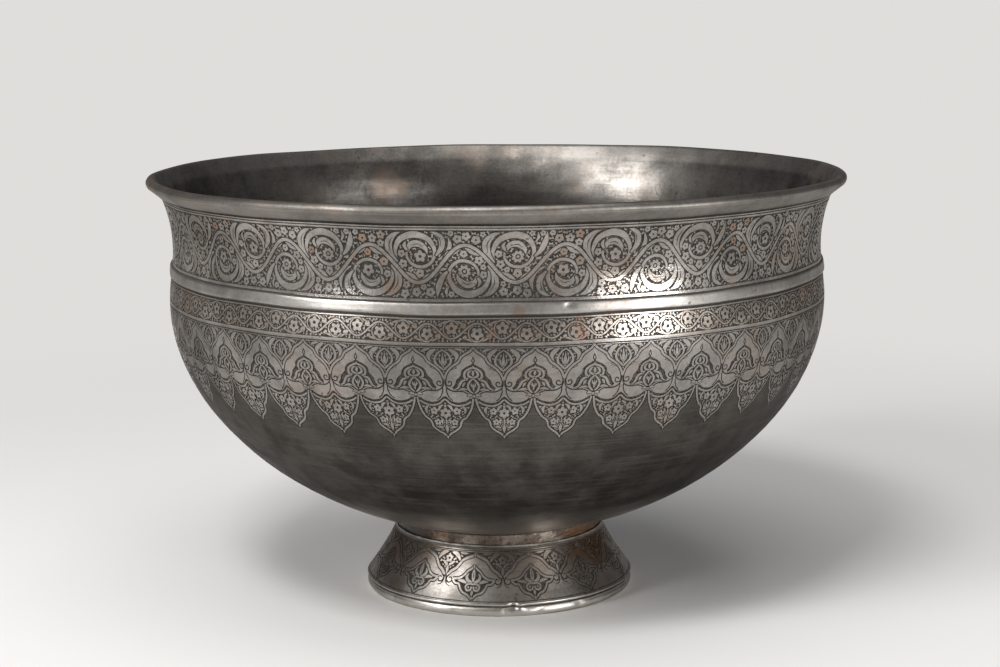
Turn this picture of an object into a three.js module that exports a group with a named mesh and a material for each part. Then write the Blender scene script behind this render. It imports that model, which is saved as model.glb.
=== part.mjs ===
// A footed basin of tinned copper, in millimetres, +Z up, standing on z = 0 with its axis on Z.
// The bowl is raised from one sheet and its lip is folded outwards over a wire. A moulding runs
// round it below the neck. It stands on a soldered collar and a flared foot, whose hem is folded
// inwards over a second wire.
import * as THREE from "three";

// Bowl
const bellyRadius = 164.8; // widest outside radius
const bowlDepth = 120; // from the belly's circle down to the underside at the axis
const bellyRoundness = 1.9; // exponent of the lower curve, where 2 is an ellipse
const waistInset = 2.3; // how much narrower the neck is than the belly
const waistRise = 28; // from the belly's circle up to the narrowest of the neck
const lipOverhang = 12.5; // how far the lip stands out beyond the waist
const lipRise = 35; // from the waist up to the top of the lip
const bowlSheet = 1.4; // thickness of the sheet

// Lip, folded over its wire
const rimWireRadius = 1;
const lipFoldDrop = 9.4; // from the top of the lip down to the folded edge

// Moulding round the waist
const bandRise = 14.3; // from the belly's circle up to its lower edge
const bandHeight = 5.7;
const bandThickness = 0.8;
const bandBevel = 0.4; // how much its edges are taken down

// Collar between the bowl and the foot
const collarRadius = 52; // outside
const collarHeight = 6.4; // outside face
const collarThickness = 1.6;

// Foot
const footHeight = 37.2; // ground to the top of the collar's outside face
const footRadius = 68.2; // outside of the hem
const footSheet = 1.4;
const shoulderLedge = 1.3; // how far the foot's shoulder stands out beyond the collar
const shoulderBend = 1.1; // radius of its bends, at mid-sheet
const spigotStop = 0.9; // gap between the top of the spigot and the bowl
const skirtSag = 1.6; // how far the skirt's curve is drawn in from a straight cone
const footWireRadius = 0.9;
const hemHeight = 6.4; // ground to the ridge where the skirt turns down into its hem
const hemBend = 1.6; // radius of that ridge, at mid-sheet
const hemLap = 1.2; // how far the folded edge laps up inside the skirt above the ridge

// Solder
const bowlFillet = 3.2; // leg of the fillet inside the foot, under the bowl
const beadRadius = 0.55; // bead where the collar stands on the foot's shoulder

// Fits
const film = 0.2; // gap that solder fills between two pieces
const wirePlay = 0.15; // gap round a wire in its fold
const foldedEdge = 0.7; // thickness of a sheet's edge where it is hammered down on itself
const hammeredFlat = 0.4; // how much hammering takes off a roll where it is dressed flat

// Facets
const turns = 56; // round the axis
const bowlSteps = 13; // up the bowl from the underside to the belly
const neckSteps = 5;
const flareSteps = 5;
const skirtSteps = 4;
const rollSteps = 7; // round a wire
const bendSteps = 2;
const wireSides = 6;

// Heights and places that follow from the sizes above
const sag = (radius) =>
  bowlDepth * (1 - (1 - (radius / bellyRadius) ** bellyRoundness) ** (1 / bellyRoundness));
const undersideHeight = footHeight - sag(collarRadius); // at the axis
const bellyHeight = undersideHeight + bowlDepth;
const waistRadius = bellyRadius - waistInset;
const waistHeight = bellyHeight + waistRise;
const lipRadius = waistRadius + lipOverhang;
const lipHeight = waistHeight + lipRise;

const tin = { color: 0x9d978e, roughness: 0.42, metalness: 0.9 };
const copper = { color: 0x9a6248, roughness: 0.5, metalness: 0.9 };
const solder = { color: 0xa8a49c, roughness: 0.5, metalness: 0.8 };

const point = (r, z) => new THREE.Vector2(r, z);
const onCircle = (centre, radius, angle) =>
  point(centre.x + radius * Math.cos(angle), centre.y + radius * Math.sin(angle));

// Points of an arc from one angle to another, both ends included.
function arc(centre, radius, from, to, steps) {
  return Array.from({ length: steps + 1 }, (_, i) =>
    onCircle(centre, radius, from + ((to - from) * i) / steps),
  );
}

// The angle at which a line from an outside point touches a circle; side is +1 or -1.
function touchAngle(outside, centre, radius, side) {
  const away = outside.clone().sub(centre);
  return Math.atan2(away.y, away.x) + side * Math.acos(radius / away.length());
}

// A line's corner rounded to a radius, as points from where the bend begins to where it ends.
function bend(before, corner, after, radius) {
  const back = before.clone().sub(corner).normalize();
  const ahead = after.clone().sub(corner).normalize();
  const half = Math.acos(THREE.MathUtils.clamp(back.dot(ahead), -1, 1)) / 2;
  const middle = back.clone().add(ahead).normalize();
  const centre = corner.clone().addScaledVector(middle, radius / Math.sin(half));
  const start = corner.clone().addScaledVector(back, radius / Math.tan(half)).sub(centre);
  const end = corner.clone().addScaledVector(ahead, radius / Math.tan(half)).sub(centre);
  const sweep = Math.atan2(start.cross(end), start.dot(end));
  return arc(centre, radius, start.angle(), start.angle() + sweep, bendSteps);
}

// The outline of a sheet that follows a line and ends in an edge hammered thin: the line moved
// half a thickness to each side.
function sheetOutline(line, thickness) {
  const end = line.length - 1;
  const side = (sign) =>
    line.map((p, i) => {
      const along = line[Math.min(i + 1, end)].clone().sub(line[Math.max(i - 1, 0)]).normalize();
      const amount = (sign * (i === end ? foldedEdge : thickness)) / 2;
      const moved = point(p.x + along.y * amount, p.y - along.x * amount);
      return p.x === 0 ? point(0, p.y - amount) : moved;
    });
  return [...side(1), ...side(-1).reverse()];
}

const dressedBelow = (height) => (p) => point(p.x, Math.min(p.y, height));
const dressedAbove = (height) => (p) => point(p.x, Math.max(p.y, height));

// Turns an outline about the axis into a named mesh. The outline runs anticlockwise, with the
// radius to the right and the height up.
function turned(name, outline, finish) {
  const first = outline[0];
  const last = outline[outline.length - 1];
  const loop = first.x === 0 && last.x === 0 ? outline : [...outline, first.clone()];
  const geometry = new THREE.LatheGeometry(loop, turns).rotateX(Math.PI / 2);
  const mesh = new THREE.Mesh(geometry, new THREE.MeshStandardMaterial(finish));
  mesh.name = name;
  return mesh;
}

// Outside of the bowl, from the underside at the axis to the waist.
function bowlOutside() {
  const points = [];
  for (let i = 0; i <= bowlSteps; i++) {
    const t = (i / bowlSteps) * (Math.PI / 2);
    const r = bellyRadius * Math.sin(t) ** (2 / bellyRoundness);
    const drop = bowlDepth * Math.cos(t) ** (2 / bellyRoundness);
    points.push(point(i === 0 ? 0 : r, bellyHeight - (i === bowlSteps ? 0 : drop)));
  }
  for (let i = 1; i <= neckSteps; i++) {
    const height = (waistRise * i) / neckSteps;
    points.push(point(neckRadius(height), bellyHeight + height));
  }
  return points;
}

// Outside radius between the belly and the waist, at a height above the belly's circle.
function neckRadius(height) {
  return waistRadius + (waistInset * (1 + Math.cos((Math.PI * height) / waistRise))) / 2;
}

// The lip's roll: its wire's centre, the mid-sheet radius round it, and the flare that meets it.
const rimRoll = rimWireRadius + wirePlay + bowlSheet / 2;
const rimCentre = point(
  lipRadius - rimRoll - bowlSheet / 2,
  lipHeight + hammeredFlat - rimRoll - bowlSheet / 2,
);
const waistMiddle = waistRadius - bowlSheet / 2;
const inset = waistMiddle - rimCentre.x;
const rise = waistHeight - rimCentre.y;
const flare = (rimRoll ** 2 - inset ** 2 - rise ** 2) / (2 * (inset + rimRoll));
const flareCentre = point(waistMiddle + flare, waistHeight);

// Mid-sheet line of the bowl, from the axis to the folded edge of the lip.
function bowlLine() {
  const outside = bowlOutside();
  const wall = outside.map((p, i) => {
    if (i === 0) return point(0, p.y + bowlSheet / 2);
    const ahead = outside[Math.min(i + 1, outside.length - 1)];
    const along = ahead.clone().sub(outside[i - 1]).normalize();
    return point(p.x - (along.y * bowlSheet) / 2, p.y + (along.x * bowlSheet) / 2);
  });
  wall[wall.length - 1].set(waistMiddle, waistHeight);
  const meet = rimCentre.clone().sub(flareCentre).angle();
  const edgeReach = flare - (bowlSheet + foldedEdge) / 2 - film;
  const edgeRise = lipRise - lipFoldDrop;
  const edgeRadius = flareCentre.x - Math.sqrt(edgeReach ** 2 - edgeRise ** 2);
  const edge = point(edgeRadius, waistHeight + edgeRise);
  const leave = touchAngle(edge, rimCentre, rimRoll, 1);
  return [
    ...wall,
    ...arc(flareCentre, flare, Math.PI, meet, flareSteps).slice(1),
    ...arc(rimCentre, rimRoll, meet, leave, rollSteps).slice(1),
    edge,
  ];
}

function bowl() {
  const outline = sheetOutline(bowlLine(), bowlSheet);
  return turned("bowl_body", outline.map(dressedBelow(lipHeight)), tin);
}

function wire(name, centre, radius) {
  const ring = arc(centre, radius, 0, 2 * Math.PI, wireSides).slice(0, -1);
  return turned(name, ring, copper);
}

// The moulding sits on the bowl's outside and follows its curve.
function band() {
  const bottom = bandRise;
  const top = bandRise + bandHeight;
  const seat = (height, out) => point(neckRadius(height) + film + out, bellyHeight + height);
  const outline = [
    seat(bottom, 0),
    seat(bottom, bandThickness - bandBevel),
    seat(bottom + bandBevel, bandThickness),
    seat(top - bandBevel, bandThickness),
    seat(top, bandThickness - bandBevel),
    seat(top, 0),
    seat((top + bottom) / 2, 0),
  ];
  return turned("waist_band", outline, tin);
}

const underside = (radius) => undersideHeight + sag(radius);
const collarBottom = footHeight - collarHeight;
const collarInside = collarRadius - collarThickness;
const spigotOutside = collarInside - film;
const spigotInside = spigotOutside - footSheet;

function collar() {
  const outline = [
    point(collarInside, collarBottom),
    point(collarRadius, collarBottom),
    point(collarRadius, underside(collarRadius) - film),
    point(collarInside, underside(collarInside) - film),
  ];
  return turned("foot_collar", outline, copper);
}

// The foot's hem: its wire's centre and the mid-sheet radius round it.
const hemRoll = footWireRadius + wirePlay + footSheet / 2;
const hemCentre = point(
  footRadius - hemRoll - footSheet / 2,
  hemRoll + footSheet / 2 - hammeredFlat,
);

// Mid-sheet line of the foot, from the top of the spigot to the folded edge of the hem.
function footLine() {
  const half = footSheet / 2;
  const spigotMiddle = spigotOutside - half;
  const shoulderHeight = collarBottom - film - half;
  const spigotTop = point(spigotMiddle, underside(spigotInside) - spigotStop);
  const inner = point(spigotMiddle, shoulderHeight);
  const outer = point(collarRadius + shoulderLedge, shoulderHeight);
  const ridge = point(hemCentre.x + hemRoll, hemHeight);
  const halfway = outer.clone().add(ridge).divideScalar(2);
  const across = ridge.clone().sub(outer).normalize();
  const drawnIn = halfway.add(point(across.y, -across.x).multiplyScalar(skirtSag));
  const skirt = new THREE.QuadraticBezierCurve(outer, drawnIn, ridge).getPoints(skirtSteps);
  const down = ridge.clone().sub(skirt[skirtSteps - 1]).normalize();
  const inwards = point(down.y, -down.x).multiplyScalar((footSheet + foldedEdge) / 2 + film);
  const edge = ridge.clone().addScaledVector(down, -hemLap).add(inwards);
  const leave = touchAngle(edge, hemCentre, hemRoll, 1);
  return [
    spigotTop,
    ...bend(spigotTop, inner, outer, shoulderBend),
    ...bend(inner, outer, skirt[1], shoulderBend),
    ...skirt.slice(1, -1),
    ...bend(skirt[skirtSteps - 1], ridge, point(ridge.x, hemCentre.y), hemBend),
    ...arc(hemCentre, hemRoll, 0, leave - 2 * Math.PI, rollSteps),
    edge,
  ];
}

function foot() {
  const outline = sheetOutline(footLine(), footSheet);
  return turned("foot_skirt", outline.map(dressedAbove(0)), tin);
}

// Fillet in the corner between the spigot's inside and the bowl's underside.
function bowlSolder() {
  const outside = spigotInside - film;
  const inside = outside - bowlFillet;
  const outline = [
    point(outside, underside(outside) - film - bowlFillet),
    point(outside, underside(outside) - film),
    point(inside, underside(inside) - film),
  ];
  return turned("bowl_solder", outline, solder);
}

// Bead in the corner between the collar's outside and the foot's shoulder.
function footSolder() {
  const centre = point(collarRadius + film + beadRadius, collarBottom - film + beadRadius + film);
  return turned("foot_solder", arc(centre, beadRadius, 0, 2 * Math.PI, wireSides).slice(0, -1), solder);
}

const basin = new THREE.Group();
basin.add(
  bowl(),
  wire("rim_wire", rimCentre, rimWireRadius),
  band(),
  collar(),
  foot(),
  wire("foot_wire", hemCentre, footWireRadius),
  bowlSolder(),
  footSolder(),
);

export default basin;
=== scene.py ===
# Footed basin of tinned copper: smooth bodies, chased ornament and worn finishes round the CAD frame.
import math
import random

import bmesh
import bpy
import numpy as np
from mathutils import Matrix, Vector, geometry


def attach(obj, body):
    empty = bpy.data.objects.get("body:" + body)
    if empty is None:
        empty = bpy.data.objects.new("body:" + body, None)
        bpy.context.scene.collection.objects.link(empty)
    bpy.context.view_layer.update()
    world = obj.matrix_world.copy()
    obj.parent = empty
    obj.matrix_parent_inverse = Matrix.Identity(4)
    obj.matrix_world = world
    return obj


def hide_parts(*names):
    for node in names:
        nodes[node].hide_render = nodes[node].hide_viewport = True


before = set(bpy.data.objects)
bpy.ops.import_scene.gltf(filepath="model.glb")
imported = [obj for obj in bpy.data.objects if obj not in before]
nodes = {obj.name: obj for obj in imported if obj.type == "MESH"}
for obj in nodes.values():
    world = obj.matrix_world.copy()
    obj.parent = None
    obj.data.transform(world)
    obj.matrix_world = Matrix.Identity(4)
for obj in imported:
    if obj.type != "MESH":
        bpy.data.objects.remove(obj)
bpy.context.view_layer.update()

mm = 0.001

# camera, found from the edges of the lip, moulding, frieze and foot
cameraSet = {
    "place": (0.00137, -1.0481, 0.3056),
    "pitchDown": 9.564,  # degrees
    "roll": -0.497,
    "lens": 75.0,  # mm on a 36 mm sensor
}


def addCamera(values):
    data = bpy.data.cameras.new("camera")
    data.lens, data.sensor_width = values["lens"], 36.0
    camera = bpy.data.objects.new("camera", data)
    bpy.context.scene.collection.objects.link(camera)
    pitch = Matrix.Rotation(math.radians(90 - values["pitchDown"]), 4, "X")
    roll = Matrix.Rotation(math.radians(values["roll"]), 4, "Z")
    camera.matrix_world = Matrix.Translation(values["place"]) @ pitch @ roll
    bpy.context.scene.camera = camera


addCamera(cameraSet)
print("camera placed")

# the basin's curves, in millimetres
bowlShape = {
    "bellyRadius": 164.8,
    "depth": 120.0,  # belly's circle down to the underside
    "roundness": 1.9,
    "waistInset": 2.3,
    "waistRise": 28.0,  # belly's circle up to the narrowest of the neck
    "lipOverhang": 12.4,
    "lipRise": 34.95,
    "sheet": 1.4,
    "collarRadius": 52.0,
    "collarTop": 37.2,
    "lipFold": 8.2,  # top of the lip down to its folded edge
    "wire": 1.15,  # radius of the lip's wire with its play
    "steps": 432,  # faces round the axis
}
footShape = {
    "shoulderRadius": 53.3,
    "shoulderHeight": 30.6,
    "ridgeHeight": 6.4,
    "hemRadius": 68.1,
    "sag": 0.8,
    "sheet": 1.4,
    "wire": 1.05,
    "spigotRadius": 50.2,
    "steps": 448,
}


def drop(radius):
    # how far the underside has risen above its lowest point at a radius
    b = bowlShape
    share = 1 - (radius / b["bellyRadius"]) ** b["roundness"]
    return b["depth"] * (1 - share ** (1 / b["roundness"]))


baseHeight = bowlShape["collarTop"] - drop(bowlShape["collarRadius"])
bellyHeight = baseHeight + bowlShape["depth"]
waistHeight = bellyHeight + bowlShape["waistRise"]
waistRadius = bowlShape["bellyRadius"] - bowlShape["waistInset"]
lipHeight = waistHeight + bowlShape["lipRise"]
lipRadius = waistRadius + bowlShape["lipOverhang"]
rollRadius = bowlShape["wire"] + bowlShape["sheet"] / 2
rollCentre = np.array([lipRadius - rollRadius - 0.7, lipHeight + 0.35 - rollRadius - 0.7])


def flareRadius():
    # mid-sheet radius of the arc that leaves the waist upright and meets the lip's roll
    inset = waistRadius - 0.7 - rollCentre[0]
    rise = waistHeight - rollCentre[1]
    return (rollRadius**2 - inset**2 - rise**2) / (2 * (inset + rollRadius))


flare = flareRadius()


def bowlRadius(z):
    # outside radius of the bowl at a height
    b = bowlShape
    z = np.asarray(z, float)
    low = np.clip((bellyHeight - z) / b["depth"], 0, 1)
    lower = b["bellyRadius"] * (1 - low ** b["roundness"]) ** (1 / b["roundness"])
    neck = waistRadius + b["waistInset"] * (1 + np.cos(math.pi * (z - bellyHeight) / b["waistRise"])) / 2
    reach = flare - b["sheet"] / 2
    up = np.clip(z - waistHeight, 0, reach * 0.9)
    upper = waistRadius + reach - np.sqrt(reach**2 - up**2)
    return np.where(z < bellyHeight, lower, np.where(z < waistHeight, neck, upper))


def skirtRadius(z):
    # outside radius of the foot between its ridge and its shoulder
    f = footShape
    share = (np.asarray(z, float) - f["ridgeHeight"]) / (f["shoulderHeight"] - f["ridgeHeight"])
    straight = f["hemRadius"] + (f["shoulderRadius"] - f["hemRadius"]) * share
    return straight - 4 * f["sag"] * share * (1 - share)


def slopeOf(radiusAt, z):
    return (radiusAt(z + 0.05) - radiusAt(z - 0.05)) / 0.1


def under(radiusAt, z, depth):
    # radius of a point that lies a depth under the outside, at the same height
    return radiusAt(z) - depth * np.sqrt(1 + slopeOf(radiusAt, z) ** 2)


dents = {  # turn from the front, height, size, depth, and the radius inside which nothing moves
    "hem": (0.1, 5.6, 2.0, 1.5, 60),
    "hemRoll": (0.046, 2.3, 1.7, 0.9, 60),
    "hemLump": (0.148, 4.6, 1.6, -0.9, 60),
    "hemChip": (0.3, 1.6, 1.3, 0.5, 60),
    "hemNotch": (-0.34, 1.6, 1.2, 0.4, 60),
    "hemRight": (0.62, 1.8, 2.2, 0.5, 60),
    "hemLeft": (-0.9, 2.0, 2.0, 0.4, 60),
    "moulding": (0.197, 168.6, 1.3, 0.7, 163.2),
    "mouldingLeft": (-0.83, 165.4, 1.6, 0.35, 163.2),
    "lipLeft": (-0.45, 207.2, 2.6, 0.3, 166),
    "lipMiddle": (0.09, 206.8, 2.2, 0.3, 166),
    "lipRight": (0.42, 207.2, 2.6, 0.25, 166),
    "lipBehind": (2.3, 207.0, 3.0, 0.4, 166),
}


def handMade(phi, r, z):
    # the small unevenness of a raised and hand-finished piece, shared by everything on the basin
    body = np.clip((z - 34) / 60, 0, 1)
    top = np.clip((z - 165) / 45, 0, 1) ** 2
    foot = 1 - np.clip((z - 29) / 5, 0, 1)
    facets = np.sin(23 * phi + z / 3.1 + 1.3 * np.sin(5 * phi)) * np.sin(31 * phi - z / 2.7 + 2)
    facets = facets + np.sin(37 * phi + z / 4.3) * np.sin(z / 3.6 + 2 * np.sin(7 * phi))
    dr = 0.28 * np.sin(2 * phi + 0.7) + 0.2 * np.sin(5 * phi + z / 31) + 0.1 * np.sin(9 * phi - z / 17 + 2)
    dr = (dr + 0.05 * facets) * body - 0.55 * top
    dr = dr + foot * (0.12 * np.sin(4 * phi + 1) + 0.07 * np.sin(11 * phi + z / 6) - 0.1)
    # solder lumps at the collar's right
    lumps = np.clip(np.sin(43 * phi + 2.2 * np.sin(z)) * np.sin(1.9 * z + 3 * np.sin(9 * phi)), 0, 1)
    atRight, atCollar = np.clip(1 - ((phi - 1.05) / 0.55) ** 2, 0, 1), np.clip(1 - ((z - 34) / 5) ** 2, 0, 1)
    dr = dr + 0.3 * lumps * atRight * atCollar * (r > 51.5)
    for turn, height, size, depth, least in dents.values():
        across = (np.remainder(phi - turn + math.pi, 2 * math.pi) - math.pi) * r
        dr = dr - depth * np.exp(-(across**2 + (z - height) ** 2) / size**2) * (r > least)
    dz = 0.16 * np.sin(7 * phi + z / 13) + 0.12 * np.sin(17 * phi - z / 9 + 1)
    dz = dz * body * (1 - 0.5 * top) + top * (0.2 * np.sin(3 * phi + 1.1) + 0.13 * np.sin(8 * phi) - 0.68)
    slide = body * (0.22 * np.sin(13 * phi + z / 8) + 0.18 * np.sin(29 * phi - z / 5 + 2))
    return phi + slide / np.maximum(r, 20), r + dr * (r > 20), z + dz


def place(phi, r, z):
    # millimetres round the axis, phi from the front towards the right, to metres
    phi, r, z = handMade(phi, r, z)
    return np.stack([r * np.sin(phi), -r * np.cos(phi), z], axis=1) * mm


def linked(name, mesh, finish, replaced=()):
    piece = bpy.data.objects.new(name, mesh)
    bpy.context.scene.collection.objects.link(piece)
    mesh.materials.clear()
    mesh.materials.append(finish)
    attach(piece, "root")
    for node in replaced:
        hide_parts(node)
    print(name, len(mesh.loop_triangles) or len(mesh.polygons), "faces")
    return piece


def turnedMesh(name, outline, steps, sharpAngle=40):
    # a closed outline of (radius, height) in millimetres, spun round the axis
    # a third value marks how dark a corner is, with dirt and painted shade, and below 0 how far an edge is lightened
    # by a painted highlight
    bm = bmesh.new()
    corners = [bm.verts.new((p[0], 0, p[1])) for p in outline]
    pairs = list(zip(corners, corners[1:]))
    if outline[0][0] > 0 or outline[-1][0] > 0:
        pairs.append((corners[-1], corners[0]))
    edges = [bm.edges.new(pair) for pair in pairs]
    bmesh.ops.spin(bm, geom=corners + edges, axis=(0, 0, 1), cent=(0, 0, 0), steps=steps,
                   angle=2 * math.pi, use_merge=True, use_duplicate=False)
    bmesh.ops.remove_doubles(bm, verts=bm.verts, dist=1e-5)
    bmesh.ops.recalc_face_normals(bm, faces=bm.faces)
    mesh = bpy.data.meshes.new(name)
    bm.to_mesh(mesh)
    bm.free()
    co = np.empty(len(mesh.vertices) * 3)
    mesh.vertices.foreach_get("co", co)
    co = co.reshape(-1, 3)
    r = np.hypot(co[:, 0], co[:, 1])
    phi = np.arctan2(co[:, 0], -co[:, 1])
    mesh.vertices.foreach_set("co", place(phi, r, co[:, 2]).ravel())
    # the marks find their vertices again by radius and height, to a tenth of a millimetre
    marks = {(round(p[0], 1), round(p[1], 1)): p[2] for p in outline if len(p) > 2}
    dirtShadeAndSheen = [marks.get((round(float(a), 1), round(float(b), 1)), 0.0) for a, b in zip(r, co[:, 2])]
    mesh.attributes.new("dirtShadeAndSheen", "FLOAT", "POINT").data.foreach_set("value", dirtShadeAndSheen)
    mesh.polygons.foreach_set("use_smooth", [True] * len(mesh.polygons))
    mesh.set_sharp_from_angle(angle=math.radians(sharpAngle))
    mesh.update()
    return mesh


def markedPoint(point, dirtShadeAndSheen):
    return (point[0], point[1], dirtShadeAndSheen)


# the ornament is drawn flat, in millimetres, and bent round the basin afterwards
def curveThrough(points, step=0.8):
    p = np.asarray(points, float)
    p = np.vstack([2 * p[0] - p[1], p, 2 * p[-1] - p[-2]])
    parts = []
    for a, b, c, d in zip(p, p[1:], p[2:], p[3:]):
        count = max(1, math.ceil(math.hypot(*(c - b)[:2]) / step))
        t = np.linspace(0, 1, count, endpoint=False)[:, None]
        parts.append(0.5 * (2 * b + (c - a) * t + (2 * a - 5 * b + 4 * c - d) * t**2
                            + (3 * b - a - 3 * c + d) * t**3))
    return np.vstack(parts + [p[-2:-1]])


def stroke(points, step=0.8, wider=0.0):
    # points of (x, y, width); the line runs smoothly through them
    line = curveThrough(points, step)
    along = np.gradient(line[:, :2], axis=0)
    along /= np.maximum(np.hypot(along[:, 0], along[:, 1]), 1e-6)[:, None]
    across = np.stack([-along[:, 1], along[:, 0]], axis=1)
    half = np.maximum(line[:, 2:] + 2 * wider, 0.06) / 2
    ends = line[:, :2].copy()
    ends[0] -= along[0] * wider
    ends[-1] += along[-1] * wider
    return np.vstack([ends + across * half, (ends - across * half)[::-1]])


def disc(x, y, radius, lobes=0, depth=0.0, turn=0.0, steps=None):
    steps = steps or max(8, math.ceil(radius * 7), lobes * 5)
    t = np.linspace(0, 2 * math.pi, steps, endpoint=False)
    r = radius * (1 - depth * (1 - np.abs(np.cos(lobes * (t - turn) / 2)))) if lobes else radius + 0 * t
    return np.stack([x + r * np.cos(t), y + r * np.sin(t)], axis=1)


def spiralLine(x, y, outer, inner, start, turns, widths):
    # points of a coil from its outside inwards; turns may be negative
    count = max(5, math.ceil(abs(turns) * 9))
    t = np.linspace(0, 1, count)
    r = outer + (inner - outer) * t
    angle = math.radians(start) + 2 * math.pi * turns * t
    w = np.interp(t, np.linspace(0, 1, len(widths)), widths)
    return np.stack([x + r * np.cos(angle), y + r * np.sin(angle), w], axis=1)


def grown(shape, amount):
    # a closed shape moved outwards
    before, after = np.roll(shape, 1, axis=0), np.roll(shape, -1, axis=0)
    along = after - before
    along /= np.maximum(np.hypot(along[:, 0], along[:, 1]), 1e-6)[:, None]
    sign = 1 if areaOf(shape) > 0 else -1
    return shape + np.stack([along[:, 1], -along[:, 0]], axis=1) * amount * sign


def areaOf(shape):
    x, y = shape[:, 0], shape[:, 1]
    return 0.5 * float(np.sum(x * np.roll(y, -1) - np.roll(x, -1) * y))


def isInside(shape, x, y):
    ax, ay = shape[:, 0][:, None], shape[:, 1][:, None]
    bx, by = np.roll(shape[:, 0], -1)[:, None], np.roll(shape[:, 1], -1)[:, None]
    crosses = (ay > y) != (by > y)
    with np.errstate(divide="ignore", invalid="ignore"):
        at = ax + (y - ay) / (by - ay) * (bx - ax)
    return (crosses & (x < at)).sum(axis=0) % 2 == 1


def box(half, low, high):
    return [(-half, low), (half, low), (half, high), (-half, high)]


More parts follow.
